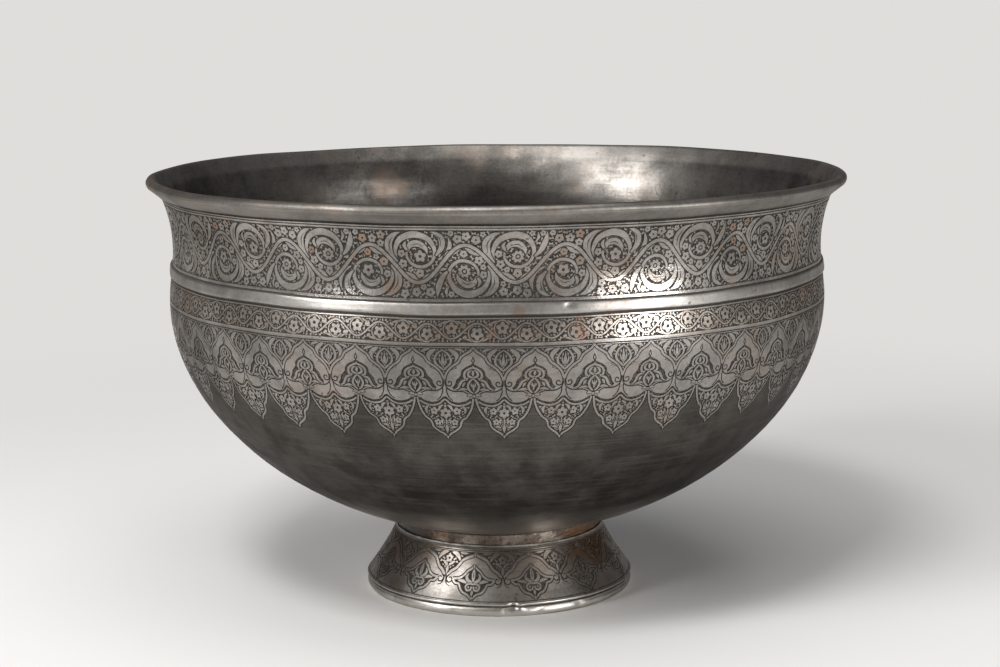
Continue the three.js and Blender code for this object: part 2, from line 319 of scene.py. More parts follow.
class Pattern:
    # one repeat of a band: shapes painted in turn, light ones raised and dark ones cut down
    def __init__(self, outline, parts, rows):
        # it bends between its parts, which lie side by side, and at the heights of its rows
        self.outline = np.asarray(outline, float)
        self.half = self.outline[:, 0].max()
        self.columns = np.arange(-self.half, self.half + 0.01, 2 * self.half / parts)
        self.rows = rows
        self.shapes = []
        self.wear = 0.0  # how far the next shapes are worn to copper
        self.plainBelow = None  # height under which bare faces are marked as plain body
        self.taken = []  # (x, y, radius) of what the small ground motifs keep clear of

    def keepClear(self, points, about=None):
        points = np.asarray(points, float).reshape(-1, 3)
        if about is not None:
            points = np.vstack([points, points * (-1, 1, 1) + (2 * about, 0, 0)])
        for shift in (0, 2 * self.half, -2 * self.half):
            self.taken.append(points + (shift, 0, 0))

    def keepOffLines(self, heights, step, reach=0.0):
        # lines right across the repeat
        for height in heights:
            self.keepClear([(x, height, reach) for x in np.arange(-self.half, self.half, step)])

    def fill(self, region, sizes, gap, chance, draw, spacing=0.42):
        # packs the free ground of a region with motifs, large ones first
        region = np.asarray(region, float)
        low, high = region.min(axis=0), region.max(axis=0)
        x, y = np.meshgrid(np.arange(low[0], high[0], spacing), np.arange(low[1], high[1], spacing))
        x, y = x.ravel(), y.ravel()
        keep = isInside(region, x, y)
        x, y = x[keep], y[keep]
        taken = np.vstack(self.taken)
        free = np.full(len(x), 99.0)
        for part in np.array_split(taken, max(1, len(taken) // 200)):
            away = np.hypot(x[:, None] - part[:, 0], y[:, None] - part[:, 1]) - part[:, 2]
            free = np.minimum(free, away.min(axis=1))
        for radius in sizes:
            order = [i for i in range(len(x)) if free[i] > radius + gap]
            chance.shuffle(order)
            for i in order:
                if free[i] > radius + gap:
                    draw(self, x[i], y[i], radius)
                    for shift in (0, 2 * self.half, -2 * self.half):
                        free = np.minimum(free, np.hypot(x - x[i] - shift, y - y[i]) - radius)
                    self.keepClear([(x[i], y[i], radius)])

    def paint(self, shape, light, about=None):
        shape = np.asarray(shape, float)
        self.wrap(shape, light)
        if about is not None:
            other = shape.copy()
            other[:, 0] = 2 * about - other[:, 0]
            self.wrap(other, light)

    def wrap(self, shape, light):
        # what runs past one end of the repeat comes in again at the other
        low, high = shape[:, 0].min(), shape[:, 0].max()
        for shift in (0, 2 * self.half, -2 * self.half):
            if low + shift < self.half and high + shift > -self.half:
                self.shapes.append((shape + (shift, 0), light, self.wear))

    def light(self, shape, gap=0.0, about=None):
        if gap:
            self.paint(grown(shape, gap), False, about)
        self.paint(shape, True, about)

    def dark(self, shape, about=None):
        self.paint(shape, False, about)

    def darkStrip(self, low, high):
        # right across the repeat and a little past its ends
        self.dark(box(self.half + 1, low, high))

    def line(self, points, gap=0.0, about=None, light=True, step=0.8):
        if gap:
            self.paint(stroke(points, step, gap), False, about)
        self.paint(stroke(points, step), light, about)
        middle = curveThrough(points, 0.6)
        self.keepClear(np.stack([middle[:, 0], middle[:, 1], middle[:, 2] / 2], axis=1), about)

    def flatMesh(self, name, relief):
        points, edges, faces = [], [], []

        def addFace(shape):
            shape = shape if areaOf(shape) > 0 else shape[::-1]
            faces.append(list(range(len(points), len(points) + len(shape))))
            points.extend(Vector(p) for p in shape)

        addFace(self.outline)
        for shape, light, wear in self.shapes:
            addFace(shape)
        low, high = self.outline.min(axis=0), self.outline.max(axis=0)
        grid = [((x, low[1] - 1), (x, high[1] + 1)) for x in self.columns]
        grid += [((low[0] - 1, y), (high[0] + 1, y)) for y in self.rows]
        for ends in grid:
            edges.append((len(points), len(points) + 1))
            points.extend(Vector(p) for p in ends)
        corners, _, triangles, _, _, owners = geometry.delaunay_2d_cdt(points, edges, faces, 0, 1e-4)
        bm = bmesh.new()
        made = [bm.verts.new((p.x, p.y, 0)) for p in corners]
        plain = bm.faces.layers.float.new("plain")
        leafWear = bm.faces.layers.float.new("leafWear")
        for triangle, owner in zip(triangles, owners):
            if 0 in owner:
                face = bm.faces.new([made[i] for i in triangle])
                top = max(owner)
                face.material_index = int(self.shapes[top - 1][1] if top else True)
                face[leafWear] = self.shapes[top - 1][2] if top else 0.0
                belowBands = self.plainBelow is not None and face.calc_center_median().y < self.plainBelow
                face[plain] = float(belowBands and not top)
        bmesh.ops.delete(bm, geom=[v for v in bm.verts if not v.link_faces], context="VERTS")
        for edge in bm.edges:  # the grid stays, for the bend, and hidden outlines go
            a, b = edge.verts[0].co, edge.verts[1].co
            upright = abs(a.x - b.x) < 1e-4 and any(abs(a.x - x) < 1e-3 for x in self.columns)
            edge.seam = upright or (abs(a.y - b.y) < 1e-4 and any(abs(a.y - y) < 1e-3 for y in self.rows))
        bmesh.ops.dissolve_limit(bm, angle_limit=math.radians(3), use_dissolve_boundaries=False,
                                 verts=bm.verts, edges=bm.edges, delimit={"SEAM", "MATERIAL"})
        bmesh.ops.triangulate(bm, faces=bm.faces)
        raised = [face for face in bm.faces if face.material_index]
        lifted = bmesh.ops.extrude_face_region(bm, geom=raised)["geom"]
        lifted = [g for g in lifted if isinstance(g, bmesh.types.BMVert)]
        bmesh.ops.translate(bm, verts=lifted, vec=(0, 0, relief))
        bmesh.ops.delete(bm, geom=raised, context="FACES")
        sides = []
        for face in bm.faces:  # walls along the repeat's own border
            if abs(face.normal.z) < 0.5 or face.calc_area() < 1e-12:
                for axis in (0, 1):
                    for limit in (low[axis], high[axis]):
                        if all(abs(v.co[axis] - limit) < 1e-4 for v in face.verts):
                            sides.append(face)
        bmesh.ops.delete(bm, geom=list(set(sides)), context="FACES")
        mesh = bpy.data.meshes.new(name)
        bm.to_mesh(mesh)
        bm.free()
        return mesh


def extrudedRim(bm, edges):
    made = bmesh.ops.extrude_edge_only(bm, edges=edges)["geom"]
    return [g for g in made if isinstance(g, bmesh.types.BMEdge) and g.is_boundary]


def setBehind(vertex, radiusAt, z, backing):
    # puts a vertex of the back at a height, under the curved outside
    phi = np.array([math.atan2(vertex.co.x, -vertex.co.y)])
    vertex.co = place(phi, under(radiusAt, np.array([z]), backing), np.array([z]))[0]


def ringOf(name, pattern, repeats, width, radiusAt, start, backRows, sharpAngle=35):
    # the repeat set side by side round the basin, bent to its outside and closed behind
    relief, backing = bands["relief"], bands["backing"]
    flat = pattern.flatMesh(name, relief)
    strip = bpy.data.objects.new(name, flat)
    bpy.context.scene.collection.objects.link(strip)
    array = strip.modifiers.new("array", "ARRAY")
    array.count = repeats
    array.use_relative_offset = False
    array.use_constant_offset = True
    array.constant_offset_displace = (width, 0, 0)
    array.use_merge_vertices = True
    array.merge_threshold = 0.01
    bpy.context.view_layer.update()
    mesh = bpy.data.meshes.new_from_object(strip.evaluated_get(bpy.context.evaluated_depsgraph_get()))
    bpy.data.objects.remove(strip)
    co = np.empty(len(mesh.vertices) * 3)
    mesh.vertices.foreach_get("co", co)
    co = co.reshape(-1, 3)
    phi = co[:, 0] / (width * repeats) * 2 * math.pi + start
    slope = slopeOf(radiusAt, co[:, 1])
    out = (co[:, 2] - relief) / np.sqrt(1 + slope**2)
    bent = place(phi, radiusAt(co[:, 1]) + out, co[:, 1] - out * slope)
    mesh.vertices.foreach_set("co", bent.ravel())
    rise = mesh.attributes.new("rise", "FLOAT", "POINT")
    rise.data.foreach_set("value", co[:, 2] / relief)
    mesh.attributes.new("cut", "FLOAT", "POINT").data.foreach_set("value", [1.0] * len(co))
    bm = bmesh.new()
    bm.from_mesh(mesh)
    bmesh.ops.remove_doubles(bm, verts=[v for v in bm.verts if v.is_boundary], dist=2e-6)
    bmesh.ops.dissolve_degenerate(bm, dist=1e-6, edges=bm.edges)
    bmesh.ops.holes_fill(bm, edges=[e for e in bm.edges if e.is_boundary], sides=12)
    rim = [e for e in bm.edges if e.is_boundary]
    loops = extrudedRim(bm, rim)
    middle = sum(e.verts[0].co.z for e in loops) / len(loops)
    lower = [e for e in loops if e.verts[0].co.z < middle]
    upper = [e for e in loops if e.verts[0].co.z >= middle]
    for v in {v for e in loops for v in e.verts}:
        setBehind(v, radiusAt, v.co.z / mm, backing)
    near, far = (lower, upper) if len(lower) < len(upper) else (upper, lower)
    target = sum(e.verts[0].co.z for e in far) / len(far) / mm
    for step in range(1, backRows):  # the back follows the curve
        near = extrudedRim(bm, near)
        for v in {v for e in near for v in e.verts}:
            z = v.co.z / mm
            setBehind(v, radiusAt, z + (target - z) / (backRows - step + 1), backing)
    bmesh.ops.bridge_loops(bm, edges=near + far)
    bm.to_mesh(mesh)
    bm.free()
    mesh.polygons.foreach_set("use_smooth", [True] * len(mesh.polygons))
    mesh.set_sharp_from_angle(angle=math.radians(sharpAngle))
    mesh.update()
    mesh.calc_loop_triangles()
    print(name, "open edges", openEdges(mesh))
    return mesh


def openEdges(mesh):
    bm = bmesh.new()
    bm.from_mesh(mesh)
    count = sum(len(e.link_faces) != 2 for e in bm.edges)
    bm.free()
    return count


class Signal:
    # a node's output that can be used in Python sums
    def __init__(self, finish, socket):
        self.finish, self.socket = finish, socket

    def sum(self, operation, first, second=None, clamp=False):
        values = {0: first} if second is None else {0: first, 1: second}
        return self.finish.node("ShaderNodeMath", {"operation": operation, "use_clamp": clamp}, values)

    def __add__(self, other):
        return self.sum("ADD", self, other)

    __radd__ = __add__

    def __sub__(self, other):
        return self.sum("SUBTRACT", self, other)

    def __rsub__(self, other):
        return self.sum("SUBTRACT", other, self)

    def __mul__(self, other):
        return self.sum("MULTIPLY", self, other)

    __rmul__ = __mul__

    def clamped(self):
        return self.sum("ADD", self, 0.0, True)

    def between(self, low, high):
        # 0 below low, 1 above high, smooth between
        return self.finish.node("ShaderNodeMapRange", {"interpolation_type": "SMOOTHSTEP"},
                                {0: self, 1: low, 2: high, 3: 0.0, 4: 1.0})


class Finish:
    def __init__(self, name):
        self.material = bpy.data.materials.new(name)
        self.material.use_nodes = True
        self.tree = self.material.node_tree
        self.tree.nodes.clear()

    def node(self, kind, settings=None, values=None, output=0):
        made = self.tree.nodes.new(kind)
        for key, value in (settings or {}).items():
            setattr(made, key, value)
        for key, value in (values or {}).items():
            if isinstance(value, Signal):
                self.tree.links.new(value.socket, made.inputs[key])
            else:
                made.inputs[key].default_value = value
        return Signal(self, made.outputs[output])

    def mixed(self, share, first, second):
        return self.node("ShaderNodeMix", {"data_type": "RGBA"}, {0: share, 6: first, 7: second}, 2)

    def noise(self, where, scale, detail=3.0, roughness=0.55):
        return self.node("ShaderNodeTexNoise", None, {"Vector": where, "Scale": scale, "Detail": detail,
                                                      "Roughness": roughness})

    def stretched(self, where, scale):
        return self.node("ShaderNodeMapping", None, {"Vector": where, "Scale": scale})

    def stained(self, colour, here, blotch, grain, places):
        # stains and patches of painted shade at their own places, ragged at the edge
        for spot in places:
            middle, size, share, tint = stainAndShadePlaces[spot]
            away = self.node("ShaderNodeVectorMath", {"operation": "DISTANCE"}, {0: here, 1: middle}, 1)
            away = away + (0.7 * size) * (blotch - 0.5) + (0.5 * size) * (grain - 0.5)
            colour = self.mixed(away.between(size, 0.45 * size) * share, colour, stainAndLightColours[tint])
        return colour

    def here(self):
        # the place in metres, as the piece itself has it
        return self.node("ShaderNodeTexCoord", None, None, 3)

    def marked(self, name):
        # a value that the mesh carries
        return self.node("ShaderNodeAttribute", {"attribute_name": name}, None, 2)

    def bumped(self, height, strength, distance, normal=None):
        values = {"Height": height, "Strength": strength, "Distance": distance}
        if normal is not None:
            values["Normal"] = normal
        return self.node("ShaderNodeBump", None, values)

    def done(self, values):
        return self.shown(self.node("ShaderNodeBsdfPrincipled", None, values))

    def shown(self, shader):
        out = self.tree.nodes.new("ShaderNodeOutputMaterial")
        self.tree.links.new(shader.socket, out.inputs["Surface"])
        return self.material


# colours of stains, and of painted shade, highlight and reflection
stainAndLightColours = {
    "patina": (0.026, 0.022, 0.019, 1),
    "copper": (0.36, 0.17, 0.095, 1),
    "leaf": (0.27, 0.188, 0.139, 1),
    "warm": (0.25, 0.185, 0.14, 1),  # tin worn thin, with the copper's tint in it
    "brown": (0.105, 0.072, 0.05, 1),
    "rust": (0.15, 0.078, 0.036, 1),
    # soot, and the colour of painted shade where a place is only in shadow
    "sootAndShade": (0.03, 0.027, 0.025, 1),
    "body": (0.06, 0.054, 0.049, 1),  # the plain lower body, darker than the frieze: painted shade for the dark it reflects
    # the darkest end of the lower body's painted shade
    "bodyLowShade": (0.021, 0.019, 0.0175, 1),
    "streak": (0.15, 0.136, 0.122, 1),
    # painted highlight on edges
    "paintedEdgeHighlight": (0.62, 0.585, 0.545, 1),
    # painted reflection on the underside close to the foot
    "paintedUnderReflection": (0.58, 0.53, 0.465, 1),
}
stainAndShadePlaces = {  # middle and radius in metres of each stain and patch of painted shade, its share and its colour
    "collarRight": ((0.046, -0.030, 0.033), 0.021, 0.85, "rust"),
    "underBowl": ((0.052, -0.052, 0.043), 0.016, 0.55, "rust"),
    "footRight": ((0.052, -0.036, 0.020), 0.032, 0.6, "brown"),
    # a brown patch that also darkens the foot's left side as painted shade
    "footLeft": ((-0.053, -0.034, 0.024), 0.028, 0.6, "brown"),
    # painted shadow on the collar's left
    "collarLeftShade": ((-0.044, -0.028, 0.034), 0.024, 0.85, "sootAndShade"),
    "mouldingFront": ((0.0098, -0.1640, 0.1658), 0.0036, 0.75, "warm"),
    # painted shade dimming a lamp's reflection on the inside's left
    "insideShade": ((-0.0590, 0.1525, 0.1900), 0.024, 0.45, "sootAndShade"),
    "insideLeft": ((-0.0635, 0.1501, 0.1936), 0.012, 0.3, "warm"),
    "insideLeftLow": ((-0.0551, 0.1528, 0.1895), 0.007, 0.35, "warm"),
    "bodyLeft": ((-0.0678, -0.1186, 0.0864), 0.009, 0.6, "sootAndShade"),
    "bodyPits": ((0.0139, -0.1395, 0.0904), 0.008, 0.4, "sootAndShade"),
    "neckRight": ((0.0560, -0.1510, 0.1860), 0.006, 0.6, "leaf"),
    "neckMiddle": ((-0.0450, -0.1560, 0.1760), 0.005, 0.7, "leaf"),
}
tinLooks = {  # worn to copper, stained and hammered are shares; groundLight is the tin left in the cut ground
    "neck": {"bright": (0.44, 0.411, 0.382, 1), "dull": (0.205, 0.189, 0.173, 1),
             "worn": 0.6, "stained": 0.4, "hammered": 0.6, "roughness": 0.16, "groundLight": 0.5},
    "scroll": {"bright": (0.45, 0.414, 0.374, 1), "dull": (0.23, 0.204, 0.18, 1),
               "worn": 1.0, "stained": 0.5, "hammered": 0.5, "roughness": 0.22, "groundLight": 0.36},
    "frieze": {"bright": (0.365, 0.34, 0.317, 1), "dull": (0.18, 0.167, 0.155, 1),
               "worn": 0.35, "stained": 0.45, "hammered": 1.0, "roughness": 0.23, "groundLight": 0.55},
    "lip": {"bright": (0.265, 0.247, 0.227, 1), "dull": (0.125, 0.115, 0.103, 1), "rougher": 0.1},
    # the inside's tin is painted darker than the outside's: painted shade
    "inside": {"bright": (0.215, 0.201, 0.184, 1), "dull": (0.08, 0.073, 0.066, 1),
               "worn": 0.25, "stained": 0.7, "hammered": 1.0, "roughness": 0.24, "groundLight": 0.3},
    "moulding": {"bright": (0.46, 0.438, 0.412, 1), "dull": (0.24, 0.225, 0.208, 1),
                 "worn": 0.3, "stained": 0.45, "hammered": 0.8, "roughness": 0.27, "groundLight": 0.3},
    # the foot's tin is painted lighter than the rest: a painted highlight for the lamp light it catches
    "foot": {"bright": (0.60, 0.565, 0.522, 1), "dull": (0.23, 0.212, 0.192, 1),
             "worn": 0.4, "stained": 0.6, "hammered": 0.5, "roughness": 0.25, "groundLight": 0.45},
}
tinZones = {  # heights in metres from where a zone of the finish begins to where it is full
    "lip": (0.2035, 0.2062),
    "reflectionNearFoot": (0.056, 0.043),
    "plainBody": (0.046, 0.065),
    # heights over which the lower body's painted shade lightens upwards
    "bodyShadeLift": (0.06, 0.114),
    "browned": (0.013, 0.031),
}
oxideAndEdgeShade = (0.55, 0.54, 0.53, 1)  # old oxidised metal stays darker where it is seen along its surface, and this darkening also serves as painted shade along the basin's outline


def tin(name, look, rim=None, spotted=()):
    # rim names the look that takes over on the lip, spotted the places with stains and painted shade of their own
    values = tinLooks[look]
    bright, dull, roughness = values["bright"], values["dull"], values["roughness"]
    wear, stain = values["worn"], values["stained"]
    f = Finish(name)
    here = f.here()
    cloud = f.noise(here, 15, 4)
    blotch = f.noise(here, 75, 5, 0.62)
    grain = f.noise(here, 620, 3, 0.7)
    wiped = f.noise(f.stretched(here, (14, 14, 420)), 1.0, 3, 0.6)
    brushed = f.noise(f.stretched(here, (22, 22, 1250)), 1.0, 3, 0.65)
    height = f.node("ShaderNodeSeparateXYZ", None, {0: here}, 2)
    if rim:  # the lip keeps brighter than the inside
        top = height.between(*tinZones["lip"])
        bright, dull = f.mixed(top, bright, tinLooks[rim]["bright"]), f.mixed(top, dull, tinLooks[rim]["dull"])
        roughness = roughness + tinLooks[rim]["rougher"] * top
    tone = (cloud * 0.5 + blotch * 0.5 + grain * 0.24 + wiped * 0.12 - 0.17).between(0.36, 0.68)
    colour = f.mixed(tone, dull, bright)
    warm = f.noise(here, 31, 5, 0.68).between(0.5, 0.66)
    colour = f.mixed(warm * (0.15 + 0.45 * wear), colour, stainAndLightColours["warm"])
    colour = f.mixed(brushed.between(0.56, 0.7) * 0.25, colour, dull)
    pits = f.noise(here, 300, 2, 0.5).between(0.68, 0.75)
    colour = f.mixed(pits * 0.7, colour, stainAndLightColours["brown"])
    spots = f.noise(here, 46, 5, 0.7) * 0.62 + blotch * 0.2 + grain * 0.18
    worn = spots.between(0.655 - 0.1 * wear, 0.73 - 0.08 * wear)
    brown = (f.noise(here, 12, 5, 0.66) * 0.7 + blotch * 0.3).between(0.62 - 0.14 * stain, 0.74 - 0.1 * stain)
    colour = f.mixed(brown * (0.35 + 0.4 * stain), colour, stainAndLightColours["brown"])
    plain = f.marked("plain")
    reflectionNearFoot = plain * height.between(*tinZones["reflectionNearFoot"])  # painted reflection: lighter close to the foot, streaky with the brushing
    colour = f.mixed(reflectionNearFoot * (0.4 + 0.6 * brushed.between(0.42, 0.56)), colour, stainAndLightColours["paintedUnderReflection"])
    # painted shade: the plain lower body is darkened, most towards the bottom, with brushed streaks in it
    plain = plain * height.between(*tinZones["plainBody"])
    shade = height.between(*tinZones["bodyShadeLift"]) + 0.4 * (cloud * 0.4 + blotch * 0.6).between(0.4, 0.6) - 0.2
    body = f.mixed(shade.clamped(), stainAndLightColours["bodyLowShade"], stainAndLightColours["body"])
    body = f.mixed(brushed.between(0.46, 0.74) * 0.34, body, stainAndLightColours["streak"])
    colour = f.mixed(plain * (0.97 - 0.1 * tone), colour, body)
    colour = f.mixed(worn * (0.62 - 0.4 * plain), colour, stainAndLightColours["copper"])
    if look == "foot":  # darker and browner towards the collar
        patches = (cloud * 0.5 + f.noise(here, 44, 4, 0.6) * 0.5).between(0.42, 0.58)
        colour = f.mixed(height.between(*tinZones["browned"]) * (0.25 + 0.6 * patches), colour, stainAndLightColours["brown"])
    leaf = f.marked("leafWear")
    leaf = leaf * f.noise(here, 24, 3).between(0.4, 0.6)
    colour = f.mixed(leaf * (0.3 + 0.7 * blotch.between(0.4, 0.56)), colour, stainAndLightColours["leaf"])
    colour = f.stained(colour, here, blotch, grain, spotted)
    rise = f.marked("rise")
    cut = (f.marked("cut") - rise).clamped()
    hatch = f.noise(f.stretched(here, (1100, 1100, 2600)), 1.0, 2, 0.6).between(0.48, 0.66)
    ground = f.mixed(hatch * values["groundLight"] * (0.5 + cloud.between(0.4, 0.62)), stainAndLightColours["patina"], dull)
    ground = f.mixed(worn * 0.6, ground, stainAndLightColours["copper"])
    colour = f.mixed(cut, colour, ground)
    edges = f.marked("dirtShadeAndSheen")  # above 0 dirt and painted shade in corners, below 0 a painted highlight on edges
    dirtShadeAndSheen = (edges * (0.6 + 0.6 * blotch)).clamped()
    # painted highlight where the mark is below 0
    paintedEdgeHighlight = ((0 - edges) * (0.5 + 0.8 * blotch)).clamped()
    colour = f.mixed(paintedEdgeHighlight, f.mixed(dirtShadeAndSheen, colour, stainAndLightColours["patina"]), stainAndLightColours["paintedEdgeHighlight"])
    rough = roughness + 0.11 * grain + 0.12 * (1 - tone) + 0.2 * cut + 0.1 * plain + 0.2 * dirtShadeAndSheen
    metal = 1.0 - 0.1 * worn - 0.6 * cut - 0.25 * brown - 0.4 * dirtShadeAndSheen
    marks = f.node("ShaderNodeTexVoronoi", {"feature": "SMOOTH_F1"},
                   {"Vector": here, "Scale": 58.0, "Smoothness": 1.0})
    normal = f.bumped(marks, 0.6 * values["hammered"], 0.0007)
    normal = f.bumped(blotch + 0.4 * grain + 0.3 * wiped + 0.25 * brushed, 0.4, 0.0003, normal)
    return f.done({"Base Color": colour, "Roughness": rough, "Metallic": metal, "Normal": normal,
                   "Specular Tint": oxideAndEdgeShade})


copperLook = {
    "bright": (0.22, 0.183, 0.152, 1),
    "dull": (0.07, 0.05, 0.038, 1),
    "crust": (0.038, 0.03, 0.025, 1),
}


def bareCopper(name, spotted=()):
    f = Finish(name)
    here = f.here()
    blotch = f.noise(here, 95, 5, 0.65)
    grain = f.noise(here, 700, 3, 0.7)
    crust = (f.noise(here, 60, 4, 0.6) * 0.6 + grain * 0.4).between(0.5, 0.62)
    colour = f.mixed((blotch * 0.7 + grain * 0.3).between(0.38, 0.62), copperLook["dull"], copperLook["bright"])
    colour = f.mixed(f.noise(here, 38, 4, 0.6).between(0.52, 0.68) * 0.25, colour, stainAndLightColours["copper"])
    colour = f.mixed(crust * 0.75, colour, copperLook["crust"])
    colour = f.mixed(f.noise(here, 260, 3, 0.6).between(0.56, 0.66) * 0.6, colour, copperLook["crust"])
    colour = f.stained(colour, here, blotch, grain, spotted)
    # dark corners of the collar: dirt and painted shade
    dirtShadeAndSheen = f.marked("dirtShadeAndSheen") * (0.6 + 0.6 * blotch)
    colour = f.mixed(dirtShadeAndSheen.clamped(), colour, stainAndLightColours["patina"])
    normal = f.bumped(blotch + 0.6 * grain + 0.8 * crust, 0.6, 0.0005)
    return f.done({"Base Color": colour, "Roughness": 0.3 + 0.3 * crust + 0.1 * grain,
                   "Metallic": 0.95 - 0.5 * crust, "Normal": normal})


solderLook = {"dark": (0.2, 0.19, 0.175, 1), "light": (0.42, 0.41, 0.39, 1)}


def solderFinish(name):
    f = Finish(name)
    here = f.here()
    lumps = f.noise(here, 180, 4, 0.6)
    grain = f.noise(here, 900, 2, 0.6)
    colour = f.mixed(lumps.between(0.35, 0.7), solderLook["dark"], solderLook["light"])
    normal = f.bumped(lumps + 0.3 * grain, 0.6, 0.0004)
    return f.done({"Base Color": colour, "Roughness": 0.4 + 0.2 * grain, "Metallic": 0.9, "Normal": normal})


tinNeck = tin("tinNeck", "neck", None, ("neckRight", "neckMiddle"))
tinScroll = tin("tinScroll", "scroll")
tinFrieze = tin("tinFrieze", "frieze", None, ("bodyLeft", "bodyPits", "underBowl"))
tinInside = tin("tinInside", "inside", "lip", ("insideShade", "insideLeft", "insideLeftLow"))
tinMoulding = tin("tinMoulding", "moulding", None, ("mouldingFront",))
tinFoot = tin("tinFoot", "foot", None, ("footRight", "footLeft", "collarRight"))
copperBare = bareCopper("copperBare", ("collarRight", "collarLeftShade"))
solderGrey = solderFinish("solderGrey")
print("finishes made")

# where each band of ornament runs, as heights in millimetres
bands = {
    "footTop": 29.85, "footBottom": 6.9,
    "neckTop": 204.3, "neckBottom": 170.3,
    "mouldingTop": 169.9, "mouldingBottom": 164.2,
    "scrollTop": 163.6, "scrollBottom": 151.9,
    "skinEdge": 38.6,  # where the lower body's skin ends, just outside the collar
    "relief": 0.35,
    "backing": 0.75,
}


def groundMotif(chance, about=None):
    # small blossoms, leaf pairs and buds, by the room there is
    def draw(p, x, y, radius):
        turn = chance.uniform(0, 2 * math.pi)
        p.wear = 1.0 if chance.random() < 0.11 else 0.0
        if radius > 1.15:
            p.paint(disc(x, y, radius * 1.14, 5, 0.36, turn, 15), True, about)
            p.wear = 0.0
            p.dark(disc(x, y, radius * 0.26, steps=5), about)
            return
        for side in (1, -1) if radius > 0.75 else (1,):
            a, b = math.cos(turn) * radius * side, math.sin(turn) * radius * side
            places = ((-0.2, -0.3, 0.25), (0.35, 0.5, 1.05), (1.15, 0.1, 0.12)) if radius > 0.75 else (
                (-1.2, -0.1, 0.3), (0, 0.25, 1.5), (1.3, -0.2, 0.15))
            leaf = [(x + c * a - d * b, y + c * b + d * a, w * radius) for c, d, w in places]
            p.paint(stroke(leaf, 1.2), True, about)
        p.wear = 0.0

    return draw


def tip(p, x, y, size, up, edge=0.5):
    # pointed joint where two mirrored lines meet
    for grow, light in ((edge, False), (0, True)):
        s = size + grow
        shoulder = y - up * s * 0.5
        p.paint([(x - s * 0.75, shoulder), (x, y - up * s * 0.9), (x + s * 0.75, shoulder), (x, y + up * s)], light)


def both(p, points, gap=0.0):
    # a light line and its mirror image
    p.line(points, gap, 0.0, step=1.15)


def onSide(points, side, about):
    # the points as they stand, or with side -1 mirrored about an upright line
    return [(x if side > 0 else 2 * about - x, y, w) for x, y, w in points]


# radius is where a drawing keeps its true width; phase turns the band, in repeats
scrollBand = {"repeats": 48, "phase": 0.1, "radius": bowlShape["bellyRadius"],
              "groundLow": 152.7, "groundHigh": 162.75, "swing": 3.3, "seed": 3}


def scrollPattern(width):
    # an undulating vine with a blossom and a round leaf by turns
    top, bottom = bands["scrollTop"], bands["scrollBottom"]
    half = width / 2
    low, high = scrollBand["groundLow"], scrollBand["groundHigh"]
    middle = (low + high) / 2
    p = Pattern(box(half, bottom, top), 6, [])
    p.darkStrip(low, high)
    p.darkStrip(top - 0.3, top)
    p.keepOffLines((low, high), 0.4)
    vine = np.linspace(-half, half, 15)
    p.line([(x, middle - scrollBand["swing"] * math.cos(2 * math.pi * x / width), 0.75) for x in vine], 0.2, step=0.9)
    for x, up in ((0.0, 1), (half, -1)):
        y = middle + up * 1.15
        p.line(spiralLine(x, y, 3.75, 3.3, 250 * up, -0.62 * up, [0.3, 0.7, 0.6]), 0.2, step=0.9)
        p.light(disc(x, y, 2.85, 5, 0.44, math.radians(90 * up), 30), 0.25)
        p.dark(disc(x, y, 0.8, steps=10))
        p.keepClear([(x, y, 2.7)])
        # round leaf on the other side of the stem
        for side, size in ((1, 1.35), (-1, 1.0)):
            lx, ly = x + side * width * 0.235, middle + up * (2.55 - 0.3 * side)
            p.wear = 0.9 if side > 0 else 0.2
            p.light(disc(lx, ly, size, 3, 0.25, math.radians(70 * side * up), 15), 0.22)
            p.wear = 0.0
            p.keepClear([(lx, ly, size)])
            stalk = ((0.1, 4.4, 0.3), (0.16, 3.7, 0.9))
            stalk = [(x + side * width * a, middle + up * b, w) for a, b, w in stalk]
            p.line(stalk + [(lx, ly + 0.6 * up, 0.3)], 0.15)
    chance = random.Random(scrollBand["seed"])
    p.fill(box(half, low, high), [1.2, 1.0, 0.75, 0.55, 0.4], 0.1, chance, groundMotif(chance))
    return p


# the frieze is made in two rings, the arches above and the pendants with the plain body below
friezeBand = {"repeats": 39, "phase": -0.387, "radius": bowlShape["bellyRadius"], "archSeed": 4, "pendantSeed": 8}


def wingsUnder(half):
    # the line under the plain wings, from the clasp to the stem between two pendants
    return [(0.0, 127.5), (1.6, 127.4), (4.0, 126.0), (7.5, 125.3), (10.6, 126.1), (12.6, 127.9), (half, 128.3)]


def seamLine(half):
    right = curveThrough(wingsUnder(half), 1.0)
    left = right[::-1].copy()
    left[:, 0] *= -1
    return np.vstack([left[:-1], right])


